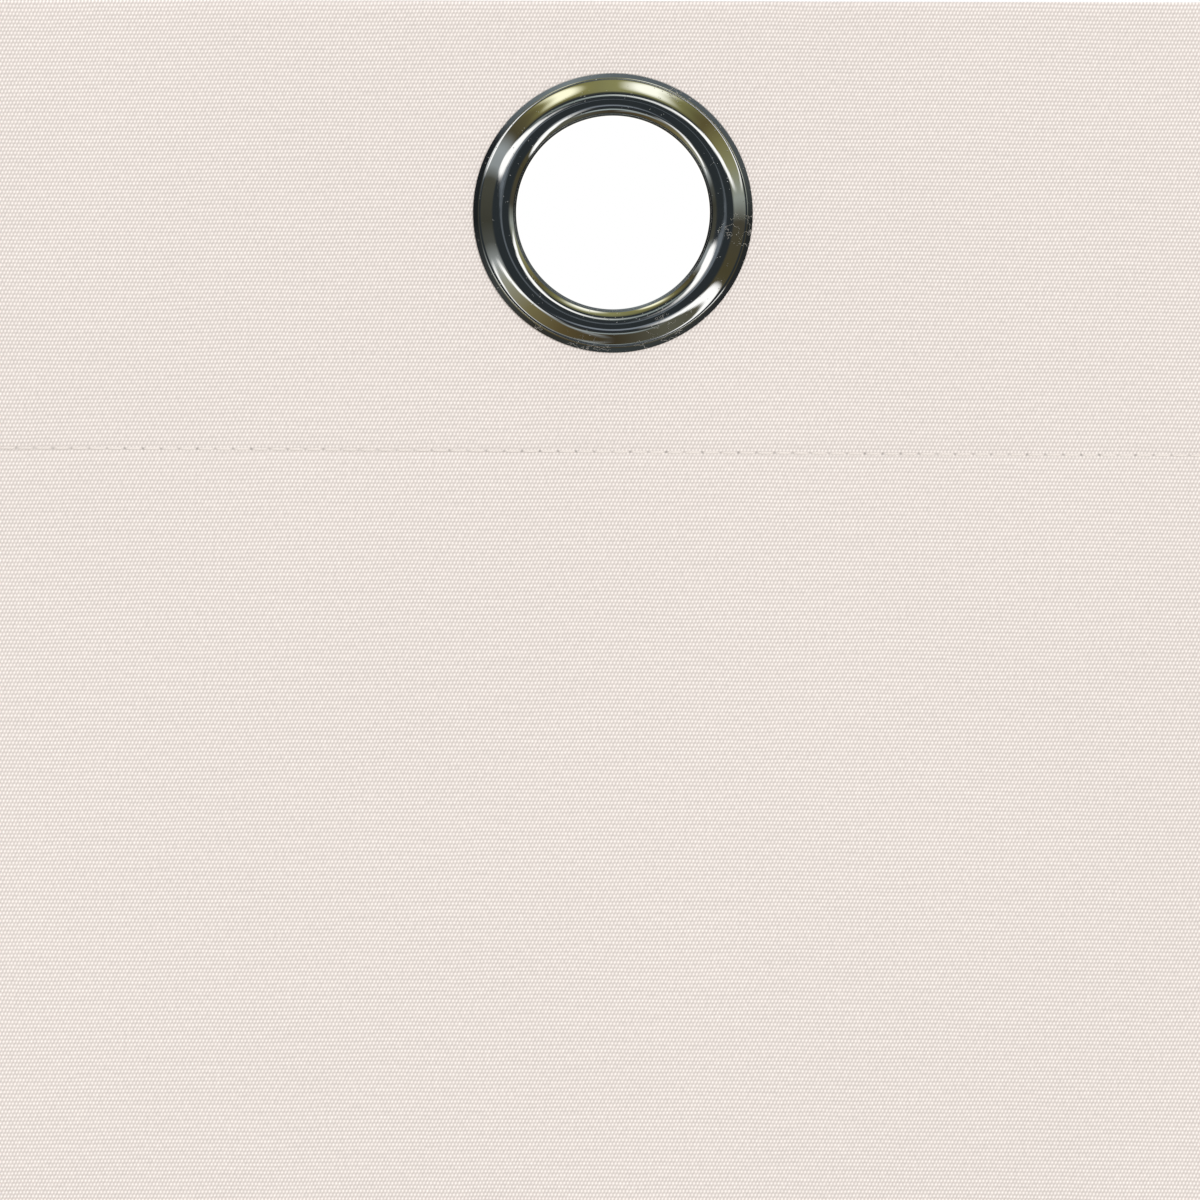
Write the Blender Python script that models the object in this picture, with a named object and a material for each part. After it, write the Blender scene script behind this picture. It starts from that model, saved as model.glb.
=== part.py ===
"""An eyelet curtain panel, hanging flat: one width of hemmed canvas with a row of plated ring eyelets.

Metres, +Z up. X runs across the panel, the front faces -Y, and the origin is the middle of the row of
eyelet centres, half way through the cloth. The panel folds like a screen about upright lines midway
between its eyelets, so it is made in sections, one to an eyelet, with a narrow gap at each fold line.
"""

import math

import bmesh
import bpy

# Panel
PANEL_WIDTH = 1.270
PANEL_DROP = 2.134
EYELET_COUNT = 8
SIDE_MARGIN = 0.055  # side edge to the first eyelet's centre
EYELET_BELOW_TOP = 0.044
CLOTH_THICKNESS = 0.0006
LAYER_GAP = 0.0003  # between one solid and the next

# Hems
HEADER_SEAM_BELOW_TOP = 0.0935
SEAM_TO_EDGE = 0.003  # a row of stitches to the folded edge that it holds
SIDE_HEM_WIDTH = 0.025
BOTTOM_HEM_HEIGHT = 0.076
THREAD_HEIGHT = 0.0004
THREAD_THICKNESS = 0.0003

# Folds
FOLD_LIMIT = math.radians(150)
FOLD_CLEARANCE = 0.0007

# Eyelet ring: a stamped metal flange with a barrel, curled over a washer at the back
BORE_RADIUS = 0.0200
METAL_THICKNESS = 0.0007
INNER_ROLL_RADIUS = 0.0028
SHOULDER_WIDTH = 0.0025  # crest to the start of the cone
CONE_TILT = math.radians(25)
CONE_WIDTH = 0.0023
LIP_WIDTH = 0.00135
BARREL_CURL_RADIUS = 0.0010
BARREL_CURL_WIDTH = 0.0016  # the flat part of the curl
BARREL_CLEARANCE = 0.0005  # barrel to cloth
WASHER_CLEARANCE = 0.0007  # barrel to washer
WASHER_COLLAR_WIDTH = 0.0021
WASHER_SLOPE_WIDTH = 0.0020
WASHER_RISE = 0.0008
WASHER_LIP_WIDTH = 0.0030
RING_SEGMENTS = 24
ARC_STEPS = 3

# What follows from the sizes above
TOP = EYELET_BELOW_TOP
BOTTOM = TOP - PANEL_DROP
SEAM_HEIGHT = TOP - HEADER_SEAM_BELOW_TOP
HEADER_EDGE = SEAM_HEIGHT - SEAM_TO_EDGE
EYELET_SPACING = (PANEL_WIDTH - 2 * SIDE_MARGIN) / (EYELET_COUNT - 1)
FIRST_EYELET = -PANEL_WIDTH / 2 + SIDE_MARGIN

CLOTH_FRONT = -CLOTH_THICKNESS / 2
CLOTH_BACK = CLOTH_THICKNESS / 2
FACING_FRONT = CLOTH_BACK + LAYER_GAP
FACING_BACK = FACING_FRONT + CLOTH_THICKNESS
FOLD_AXIS_Y = (CLOTH_FRONT + FACING_BACK) / 2

BARREL_RADIUS = BORE_RADIUS + METAL_THICKNESS
CLOTH_HOLE_RADIUS = BARREL_RADIUS + BARREL_CLEARANCE
LIP_FRONT = CLOTH_FRONT - LAYER_GAP - METAL_THICKNESS
WASHER_FRONT = FACING_BACK + LAYER_GAP
WASHER_BACK = WASHER_FRONT + WASHER_RISE + METAL_THICKNESS
CURL_BACK = WASHER_BACK + LAYER_GAP + METAL_THICKNESS

CANVAS = ("canvas", (0.82, 0.75, 0.70), 0.95, 0.0)
THREAD = ("thread", (0.80, 0.74, 0.69), 0.7, 0.0)
PLATED_METAL = ("plated_metal", (0.62, 0.62, 0.60), 0.12, 1.0)


def clear_scene():
    for old in list(bpy.data.objects):
        bpy.data.objects.remove(old)


def material(finish):
    """The Principled material for a (name, colour, roughness, metallic) finish, made once."""
    name, colour, roughness, metallic = finish
    found = bpy.data.materials.get(name)
    if found:
        return found
    made = bpy.data.materials.new(name)
    made.use_nodes = True
    shader = made.node_tree.nodes["Principled BSDF"]
    shader.inputs["Base Color"].default_value = (*colour, 1)
    shader.inputs["Roughness"].default_value = roughness
    shader.inputs["Metallic"].default_value = metallic
    return made


def add_object(name, mesh, finish, parent):
    """A named object with its finish, placed under its parent without moving in the world."""
    mesh.materials.append(material(finish))
    made = bpy.data.objects.new(name, mesh)
    bpy.context.scene.collection.objects.link(made)
    made.parent = parent
    made.matrix_parent_inverse = parent.matrix_world.inverted()
    return made


def eyelet_x(number):
    """The centre of eyelet 1, 2, 3 and so on, counted from the left as seen from the front."""
    return FIRST_EYELET + (number - 1) * EYELET_SPACING


def fold_x(number):
    """The fold line between an eyelet and the next one."""
    return eyelet_x(number) + EYELET_SPACING / 2


def fold_setback(front, back):
    """How far a layer stops short of a fold line, so that it clears its mirror image at the fold's limit."""
    reach = max(abs(front - FOLD_AXIS_Y), abs(back - FOLD_AXIS_Y))
    return reach * math.tan(FOLD_LIMIT / 2) + FOLD_CLEARANCE


def section_span(number, front, back, side_inset=0.0):
    """The left and right ends of one section's layer, between its fold lines or the panel's side edges."""
    setback = fold_setback(front, back)
    left = fold_x(number - 1) + setback if number > 1 else -PANEL_WIDTH / 2 + side_inset
    right = fold_x(number) - setback if number < EYELET_COUNT else PANEL_WIDTH / 2 - side_inset
    return left, right


def steps(start, end, count):
    return [start + (end - start) * i / count for i in range(count + 1)]


def flat_layer(name, span, heights, depths, parent, finish=CANVAS):
    """A closed flat slab between two ends across the panel, two heights and two depths."""
    shell = bmesh.new()
    bmesh.ops.create_cube(shell, size=1)
    ranges = (span, depths, heights)
    for vertex in shell.verts:
        vertex.co = [low + (high - low) * (c + 0.5) for c, (low, high) in zip(vertex.co, ranges)]
    mesh = bpy.data.meshes.new(name)
    shell.to_mesh(mesh)
    shell.free()
    return add_object(name, mesh, finish, parent)


def hole_cutter():
    """One cylinder, longer than the header is thick, that cuts the hole for every eyelet in turn."""
    shell = bmesh.new()
    bmesh.ops.create_cone(
        shell, cap_ends=True, segments=RING_SEGMENTS,
        radius1=CLOTH_HOLE_RADIUS, radius2=CLOTH_HOLE_RADIUS, depth=20 * CLOTH_THICKNESS,
    )
    mesh = bpy.data.meshes.new("eyelet_hole")
    shell.to_mesh(mesh)
    shell.free()
    return mesh


def cut_eyelet_hole(layer, number, cutter_mesh):
    cutter = bpy.data.objects.new(f"{layer.name}_hole", cutter_mesh)
    bpy.context.scene.collection.objects.link(cutter)
    cutter.location = (eyelet_x(number), FOLD_AXIS_Y, 0)
    cutter.rotation_euler = (math.pi / 2, 0, 0)
    cutter.hide_render = True
    cutter.display_type = "WIRE"
    cut = layer.modifiers.new("eyelet hole", "BOOLEAN")
    cut.operation = "DIFFERENCE"
    cut.solver = "EXACT"
    cut.object = cutter


def arc(centre, radius, start, end):
    """Points round an arc in the (radius, depth) plane, with angles from the radial direction."""
    return [
        (centre[0] + radius * math.cos(a), centre[1] + radius * math.sin(a))
        for a in steps(start, end, ARC_STEPS)
    ]


def flange_path():
    """The ring's visible side as (radius, y): the curl at the back, the bore, the roll, the cone and the lip."""
    curl_centre = (BORE_RADIUS + BARREL_CURL_RADIUS, CURL_BACK - BARREL_CURL_RADIUS)
    crest_radius = BORE_RADIUS + INNER_ROLL_RADIUS
    cone_radius = crest_radius + SHOULDER_WIDTH
    crease_radius = cone_radius + CONE_WIDTH
    shoulder_radius = SHOULDER_WIDTH / math.sin(CONE_TILT)
    cone_front = LIP_FRONT - CONE_WIDTH * math.tan(CONE_TILT)
    crest_front = cone_front - shoulder_radius * (1 - math.cos(CONE_TILT))
    up = -math.pi / 2
    return [
        (curl_centre[0] + BARREL_CURL_WIDTH, CURL_BACK),
        *arc(curl_centre, BARREL_CURL_RADIUS, math.pi / 2, math.pi),
        *arc((crest_radius, crest_front + INNER_ROLL_RADIUS), INNER_ROLL_RADIUS, -math.pi, up),
        *arc((crest_radius, crest_front + shoulder_radius), shoulder_radius, up, up + CONE_TILT)[1:],
        (crease_radius, LIP_FRONT),
        (crease_radius + LIP_WIDTH, LIP_FRONT),
    ]


def thickened(path):
    """A closed outline: the path, then the path again one metal thickness to its hidden side."""
    hidden = []
    for i, point in enumerate(path):
        before = path[max(i - 1, 0)]
        after = path[min(i + 1, len(path) - 1)]
        turns = []
        for a, b in ((before, point), (point, after)):
            length = math.hypot(b[0] - a[0], b[1] - a[1])
            if length > 0:
                turns.append(((a[1] - b[1]) / length, (b[0] - a[0]) / length))
        normal = [sum(t[axis] for t in turns) / len(turns) for axis in (0, 1)]
        stretch = METAL_THICKNESS / (normal[0] ** 2 + normal[1] ** 2)
        hidden.append((point[0] + normal[0] * stretch, point[1] + normal[1] * stretch))
    return path + hidden[::-1]


def washer_outline():
    """The washer's section as (radius, y): a collar under the curl, a slope and a flat lip on the cloth."""
    inner = BARREL_RADIUS + WASHER_CLEARANCE
    collar = inner + WASHER_COLLAR_WIDTH
    slope = collar + WASHER_SLOPE_WIDTH
    outer = slope + WASHER_LIP_WIDTH
    return [
        (outer, WASHER_FRONT + METAL_THICKNESS),
        (slope, WASHER_FRONT + METAL_THICKNESS),
        (collar, WASHER_BACK),
        (inner, WASHER_BACK),
        (inner, WASHER_BACK - METAL_THICKNESS),
        (collar, WASHER_BACK - METAL_THICKNESS),
        (slope, WASHER_FRONT),
        (outer, WASHER_FRONT),
    ]


def turned_mesh(name, outline):
    """A closed outline of (radius, y) points turned once round the Y axis."""
    shell = bmesh.new()
    rings = []
    for i in range(RING_SEGMENTS):
        turn = 2 * math.pi * (i + 0.5) / RING_SEGMENTS
        rings.append([shell.verts.new((r * math.cos(turn), y, r * math.sin(turn))) for r, y in outline])
    for i, ring in enumerate(rings):
        following = rings[(i + 1) % RING_SEGMENTS]
        for j in range(len(outline)):
            k = (j + 1) % len(outline)
            shell.faces.new((ring[j], ring[k], following[k], following[j]))
    bmesh.ops.recalc_face_normals(shell, faces=shell.faces)
    mesh = bpy.data.meshes.new(name)
    shell.to_mesh(mesh)
    shell.free()
    mesh.shade_smooth()
    mesh.set_sharp_from_angle(angle=math.radians(35))
    return mesh


def section_empty(number):
    """The parent of one section's pieces, on its eyelet's centre."""
    empty = bpy.data.objects.new(f"section_{number}", None)
    bpy.context.scene.collection.objects.link(empty)
    empty.location = (eyelet_x(number), 0, 0)
    bpy.context.view_layer.update()
    return empty


def add_panel_cloth(number, parent, cutter_mesh):
    depths = (CLOTH_FRONT, CLOTH_BACK)
    span = section_span(number, *depths)
    cloth = flat_layer(f"panel_cloth_{number}", span, (BOTTOM, TOP), depths, parent)
    cut_eyelet_hole(cloth, number, cutter_mesh)


def add_header_facing(number, parent, cutter_mesh):
    """The cloth turned down behind the header, which the eyelets go through as well."""
    depths = (FACING_FRONT, FACING_BACK)
    span = section_span(number, *depths)
    facing = flat_layer(f"header_facing_{number}", span, (HEADER_EDGE, TOP), depths, parent)
    cut_eyelet_hole(facing, number, cutter_mesh)


def add_header_stitching(number, parent):
    """The row of lockstitch that holds the facing down, as one flat bar of thread on the front."""
    depths = (CLOTH_FRONT - LAYER_GAP - THREAD_THICKNESS, CLOTH_FRONT - LAYER_GAP)
    span = section_span(number, *depths, side_inset=SEAM_TO_EDGE)
    heights = (SEAM_HEIGHT - THREAD_HEIGHT / 2, SEAM_HEIGHT + THREAD_HEIGHT / 2)
    flat_layer(f"header_stitching_{number}", span, heights, depths, parent, THREAD)


def add_bottom_hem(number, parent):
    """The cloth turned up twice behind the bottom edge."""
    depths = (FACING_FRONT, FACING_FRONT + 2 * CLOTH_THICKNESS)
    span = section_span(number, *depths)
    heights = (BOTTOM, BOTTOM + BOTTOM_HEM_HEIGHT)
    flat_layer(f"bottom_hem_{number}", span, heights, depths, parent)


def add_side_hem(side, edge, inwards, parent):
    """The cloth turned in twice behind one side edge, between the header and the bottom hem."""
    depths = (FACING_FRONT, FACING_FRONT + 2 * CLOTH_THICKNESS)
    span = sorted((edge, edge + inwards * SIDE_HEM_WIDTH))
    heights = (BOTTOM + BOTTOM_HEM_HEIGHT + LAYER_GAP, HEADER_EDGE - LAYER_GAP)
    flat_layer(f"side_hem_{side}", span, heights, depths, parent)


def add_turned_piece(name, mesh, parent):
    ring = add_object(name, mesh, PLATED_METAL, parent)
    ring.matrix_parent_inverse.identity()


def build():
    clear_scene()
    cutter_mesh = hole_cutter()
    ring_mesh = turned_mesh("eyelet_ring", thickened(flange_path()))
    washer_mesh = turned_mesh("eyelet_washer", washer_outline())
    ring_mesh.materials.append(material(PLATED_METAL))
    washer_mesh.materials.append(material(PLATED_METAL))
    for number in range(1, EYELET_COUNT + 1):
        section = section_empty(number)
        add_panel_cloth(number, section, cutter_mesh)
        add_header_facing(number, section, cutter_mesh)
        add_header_stitching(number, section)
        add_bottom_hem(number, section)
        add_turned_piece(f"eyelet_ring_{number}", ring_mesh, section)
        add_turned_piece(f"eyelet_washer_{number}", washer_mesh, section)
        if number == 1:
            add_side_hem("left", -PANEL_WIDTH / 2, 1, section)
        if number == EYELET_COUNT:
            add_side_hem("right", PANEL_WIDTH / 2, -1, section)


build()
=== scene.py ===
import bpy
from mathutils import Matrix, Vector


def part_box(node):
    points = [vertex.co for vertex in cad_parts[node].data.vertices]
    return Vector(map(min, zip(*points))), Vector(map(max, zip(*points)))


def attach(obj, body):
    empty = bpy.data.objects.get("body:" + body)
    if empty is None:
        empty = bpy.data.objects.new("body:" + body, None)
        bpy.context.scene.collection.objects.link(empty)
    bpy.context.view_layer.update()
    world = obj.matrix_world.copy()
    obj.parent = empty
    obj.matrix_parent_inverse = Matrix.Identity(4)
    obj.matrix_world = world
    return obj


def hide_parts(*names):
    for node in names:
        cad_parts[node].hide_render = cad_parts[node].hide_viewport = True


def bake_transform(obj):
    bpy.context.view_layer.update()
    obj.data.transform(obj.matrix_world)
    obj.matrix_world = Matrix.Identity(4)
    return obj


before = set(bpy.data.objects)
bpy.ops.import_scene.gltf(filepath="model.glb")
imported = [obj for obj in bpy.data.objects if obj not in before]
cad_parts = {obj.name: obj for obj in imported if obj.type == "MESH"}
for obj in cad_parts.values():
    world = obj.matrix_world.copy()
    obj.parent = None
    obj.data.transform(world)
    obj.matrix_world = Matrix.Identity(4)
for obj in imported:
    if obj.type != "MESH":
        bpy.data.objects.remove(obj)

"""The looks of an eyelet curtain panel: hemmed cotton canvas, lockstitch and nickel-plated ring eyelets.

The cloth is one sheet, cut into spans from one eyelet's centre line to the next, because it bends
midway between two eyelets and stays flat round each one. A span's two borders lie where nothing bends,
so neighbouring spans meet without a step at every pose. The cloth's UV map holds real distances in
metres: U across the panel and V along the cloth, equal to X and Z on its front.
"""

import math

import bpy
import numpy as np
from mathutils import Vector

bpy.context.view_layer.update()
MM = 0.001


# ---------------------------------------------------------------- sizes, from the CAD nodes

def middle(node, axis):
    """The middle of a CAD node's box along one axis."""
    low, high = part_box(node)
    return (low[axis] + high[axis]) / 2


EYELETS = sum(name.startswith("eyelet_ring_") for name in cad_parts)
EYELET_X = [middle(f"eyelet_ring_{n}", 0) for n in range(1, EYELETS + 1)]
SPACING = EYELET_X[1] - EYELET_X[0]
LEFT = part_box("panel_cloth_1")[0].x
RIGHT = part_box(f"panel_cloth_{EYELETS}")[1].x
BOTTOM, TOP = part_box("panel_cloth_1")[0].z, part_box("panel_cloth_1")[1].z
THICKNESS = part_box("panel_cloth_1")[1].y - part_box("panel_cloth_1")[0].y
FRONT_Y = middle("panel_cloth_1", 1)
FACING_Y = middle("header_facing_1", 1)
OUTER_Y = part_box("bottom_hem_1")[1].y - THICKNESS / 2
TUCK_Y = (FRONT_Y + OUTER_Y) / 2
FRONT_FACE, BACK_FACE = FRONT_Y - THICKNESS / 2, OUTER_Y + THICKNESS / 2
SEAM = middle("header_stitching_1", 2)
HEADER_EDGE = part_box("header_facing_1")[0].z
HEM_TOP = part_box("bottom_hem_1")[1].z
SIDE_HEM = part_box("side_hem_left")[1].x - LEFT
RING_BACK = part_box("eyelet_ring_1")[1].y
WASHER_FRONT, WASHER_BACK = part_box("eyelet_washer_1")[0].y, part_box("eyelet_washer_1")[1].y

VIEWED_EYELET = 2  # the eyelet that the camera looks at, on the body that stays put
VIEW_WIDTH, VIEW_RIGHT, VIEW_DOWN = 248.76 * MM, -2.477 * MM, 80.246 * MM  # at the cloth, from that eyelet
RIGID_HALF = 33 * MM  # the header stays flat this far to each side of an eyelet's centre
HOLE_RADIUS = 21.3 * MM
HOLE_BAND = 3 * MM  # grid points this close to the hole's edge are drawn onto it
HEADER_TUCK = 10 * MM  # raw edge turned under, inside the header and the hems
HEM_TUCK = 12 * MM
FACING_STEP, FACING_STEP_WIDTH = 17 * MM, 4 * MM  # the facing steps over its raw edge, above its fold
SEAM_PULL, SEAM_PULL_WIDTH = 0.16, 1.3 * MM  # each seam draws its layers together by this share
STITCH = 3.74 * MM
PICK = 0.804 * MM  # one weft thread to the next
END = 0.3635 * MM  # one warp thread to the next
BOW, BOW_LENGTH, BOW_PHASE = 0.66 * MM, 0.5, 5.10  # of the weft, as a cosine across the panel
SEAM_WANDER, WANDER_LENGTH, WANDER_PHASE = 0.45 * MM, 0.5, 0.515
BEDDED = 0.02 * MM  # how deep the level stitches lie in the cloth
HEM_LIFT = 3 * MM  # hems are stitched this far inside their fold
HEM_SEAM = HEM_TOP - HEM_LIFT
WAVE_DEPTH = 8.8 * MM
WAVE_STARTS = -0.23  # the cloth above this height is flat


# ---------------------------------------------------------------- meshes

def mesh_piece(name, points, quads, quad_uv, material, sharp_degrees=50):
    """A smooth-shaded object from an array of points, one of quads, and the UV of each quad's corners."""
    mesh = bpy.data.meshes.new(name)
    mesh.vertices.add(len(points))
    mesh.vertices.foreach_set("co", np.asarray(points, np.float32).ravel())
    mesh.loops.add(quads.size)
    mesh.loops.foreach_set("vertex_index", quads.astype(np.int32).ravel())
    mesh.polygons.add(len(quads))
    mesh.polygons.foreach_set("loop_start", np.arange(0, quads.size, 4, dtype=np.int32))
    mesh.update(calc_edges=True)
    mesh.uv_layers.new(name="UVMap").uv.foreach_set("vector", quad_uv.astype(np.float32).ravel())
    mesh.validate()
    mesh.shade_smooth()
    mesh.set_sharp_from_angle(angle=math.radians(sharp_degrees))
    mesh.materials.append(material)
    piece = bpy.data.objects.new(name, mesh)
    bpy.context.scene.collection.objects.link(piece)
    return piece


def wave(x, z):
    """How far the cloth hangs off its flat plane: nothing above WAVE_STARTS, then a sine wave across the
    panel with a crest at each fold line, growing smoothly to the bottom edge and a little uneven."""
    fallen = np.clip((WAVE_STARTS - z) / (WAVE_STARTS - BOTTOM), 0, 1)
    growth = fallen * fallen * (3 - 2 * fallen)
    along = (x - EYELET_X[0]) / SPACING
    uneven = 1 + 0.22 * np.sin(2.3 * along + 2.5 * z)
    return WAVE_DEPTH * growth * uneven * np.sin(math.pi * along)


def shell_quads(rows, columns, kept):
    """Quads on both faces of a grid's kept cells, and the walls between the faces along every open edge.
    The back face's points follow the front face's points in the same order."""
    at = np.arange(rows * columns).reshape(rows, columns)
    front = np.stack([at[:-1, :-1], at[:-1, 1:], at[1:, 1:], at[1:, :-1]], axis=-1)[kept]
    edges = np.concatenate([front[:, [k, (k + 1) % 4]] for k in range(4)])
    _, first, times = np.unique(np.sort(edges, axis=1), axis=0, return_index=True, return_counts=True)
    rim = edges[first[times == 1]]
    behind = rows * columns
    walls = np.stack([rim[:, 1], rim[:, 0], rim[:, 0] + behind, rim[:, 1] + behind], axis=-1)
    return np.concatenate([front, front[:, ::-1] + behind, walls])


def sheet_piece(name, middle_points, outward, uv, kept, material):
    """A closed sheet: the grid of middle points moved half a thickness along the outward directions for
    the right side and against them for the wrong side, with walls round its open edges."""
    rows, columns = middle_points.shape[:2]
    half = outward * THICKNESS / 2
    points = np.concatenate([(middle_points + half).reshape(-1, 3), (middle_points - half).reshape(-1, 3)])
    quads = shell_quads(rows, columns, kept)
    corner_uv = np.concatenate([uv.reshape(-1, 2)] * 2)[quads]
    used, quads = np.unique(quads, return_inverse=True)
    return mesh_piece(name, points[used], quads.reshape(-1, 4), corner_uv, material)


def stops(*marks):
    """Points along a line from pairs of (place, largest step up to the next place), ends included."""
    line = [marks[0][0]]
    for (start, step), (end, _) in zip(marks, marks[1:]):
        count = max(1, math.ceil(abs(end - start) / step))
        line.extend(np.linspace(start, end, count + 1)[1:])
    return np.array(line)


def level_run(y, heights):
    """Points at one depth, or at a depth for each height, as an array of (y, z)."""
    return np.stack([np.broadcast_to(y, heights.shape), heights], axis=-1)


def half_turn(y, z, radius, start, end):
    """Points round an arc in the Y-Z plane, with angles in degrees from +Y."""
    turn = np.radians(np.linspace(start, end, 9))
    return np.stack([y + radius * np.cos(turn), z + radius * np.sin(turn)], axis=-1)


def cloth_path():
    """The cloth's middle line in the Y-Z plane: from the raw edge inside the bottom hem, over the hem's
    top, down its back, round the bottom edge, up the front, over the top edge, down the header's back
    and round its lower edge to the raw edge inside. Returns its points, tangents and V."""
    skin = THICKNESS / 2
    small = (OUTER_Y - TUCK_Y) / 2
    tuck_mid = (OUTER_Y + TUCK_Y) / 2
    bottom_radius = (OUTER_Y - FRONT_Y) / 2
    top_radius = (FACING_Y - FRONT_Y) / 2
    hem_turn = HEM_TOP - skin - small
    bottom_turn = BOTTOM + skin + bottom_radius
    top_turn = TOP - skin - top_radius
    edge_turn = HEADER_EDGE + skin + small
    ring_zone = 30 * MM
    seam_zone = 3 * MM

    hem_tuck = level_run(TUCK_Y, stops((HEM_TOP - HEM_TUCK, 3 * MM), (hem_turn, 0)))
    hem_back = level_run(OUTER_Y, stops(
        (hem_turn, 0.7 * MM), (HEM_SEAM - seam_zone, 7 * MM), (bottom_turn, 0)
    ))
    front = level_run(FRONT_Y, stops(
        (bottom_turn, 7 * MM), (HEM_SEAM - seam_zone, 0.7 * MM), (HEM_SEAM + seam_zone, 13 * MM),
        (-0.30, 7 * MM), (SEAM - seam_zone, 0.6 * MM), (SEAM + seam_zone, 3 * MM),
        (-ring_zone, 1.8 * MM), (ring_zone, 3 * MM), (top_turn, 0),
    ))
    lowered = stops(
        (top_turn, 3 * MM), (ring_zone, 1.8 * MM), (-ring_zone, 3 * MM),
        (HEADER_EDGE + FACING_STEP + 1 * MM, 0.7 * MM), (edge_turn, 0),
    )
    step = np.clip((HEADER_EDGE + FACING_STEP - lowered) / FACING_STEP_WIDTH, 0, 1)
    facing = level_run(FACING_Y + (OUTER_Y - FACING_Y) * step * step * (3 - 2 * step), lowered)
    header_tuck = level_run(TUCK_Y, stops((edge_turn, 3 * MM), (HEADER_EDGE + HEADER_TUCK, 0)))

    line = np.concatenate([
        hem_tuck,
        half_turn(tuck_mid, hem_turn, small, 180, 0),
        hem_back,
        half_turn(TUCK_Y, bottom_turn, bottom_radius, 0, -180),
        front,
        half_turn((FRONT_Y + FACING_Y) / 2, top_turn, top_radius, 180, 0),
        facing,
        half_turn(tuck_mid, edge_turn, small, 0, -180),
        header_tuck,
    ])
    apart = np.linalg.norm(np.diff(line, axis=0), axis=1)
    line = line[np.concatenate([[True], apart > 1e-7])]
    apart = np.linalg.norm(np.diff(line, axis=0), axis=1)
    travelled = np.concatenate([[0], np.cumsum(apart)])
    tangent = np.gradient(line, travelled, axis=0)
    tangent /= np.linalg.norm(tangent, axis=1, keepdims=True)
    on_front = np.argmin(np.abs(line[:, 0] - FRONT_Y) + np.abs(line[:, 1]))
    v = travelled - travelled[on_front] + line[on_front, 1]
    for seam in (SEAM, HEM_SEAM):
        near = np.exp(-((line[:, 1] - seam) / SEAM_PULL_WIDTH) ** 2)
        line[:, 0] += (TUCK_Y - line[:, 0]) * SEAM_PULL * near
    return line, tangent, v


def columns_between(start, end, flat_at_start, flat_at_end):
    """X of a span's columns, closer together in the flat zones round the eyelets."""
    marks = [(start, 1.8 * MM)]
    if flat_at_start:
        marks.append((start + RIGID_HALF, 2.45 * MM))
    if flat_at_end:
        marks.append((end - RIGID_HALF, 1.8 * MM))
    return stops(*marks, (end, 0))


def cells_round(cells):
    """How many of the marked cells meet at each point of their grid."""
    padded = np.pad(cells.astype(int), 1)
    return padded[:-1, :-1] + padded[:-1, 1:] + padded[1:, :-1] + padded[1:, 1:]


def cloth_span(name, start, end, holes, path, material):
    """One span of the panel: the cloth's path carried across from start to end, with the eyelet holes
    left out of both header layers and their edges drawn onto a circle."""
    line, tangent, v = path
    x = columns_between(start, end, start in EYELET_X, end in EYELET_X)
    grid_x, grid_v = np.meshgrid(x, v)
    grid_y = np.repeat(line[:, :1], len(x), axis=1)
    grid_z = np.repeat(line[:, 1:], len(x), axis=1)
    kept = np.ones((len(v) - 1, len(x) - 1), bool)
    for centre in holes:
        off = grid_x - centre
        away = np.hypot(off, grid_z)
        corners = [away[:-1, :-1], away[:-1, 1:], away[1:, 1:], away[1:, :-1]]
        outside = np.mean(corners, axis=0) > HOLE_RADIUS
        kept &= outside
        touched, full = cells_round(outside), cells_round(np.ones_like(outside))
        rim = (touched > 0) & (touched < full) & (away < HOLE_RADIUS + HOLE_BAND)
        scale = np.where(rim, HOLE_RADIUS / np.maximum(away, 1e-6), 1)
        moved_z = grid_z * (scale - 1)
        grid_x = centre + off * scale
        grid_v = grid_v + moved_z * tangent[:, 1:]
        grid_z = grid_z + moved_z
    points = np.stack([grid_x, grid_y + wave(grid_x, grid_z), grid_z], axis=-1)
    outward = np.zeros_like(points)
    outward[..., 1] = -tangent[:, 1:]
    outward[..., 2] = tangent[:, :1]
    return sheet_piece(name, points, outward, np.stack([grid_x, grid_v], axis=-1), kept, material)


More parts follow.
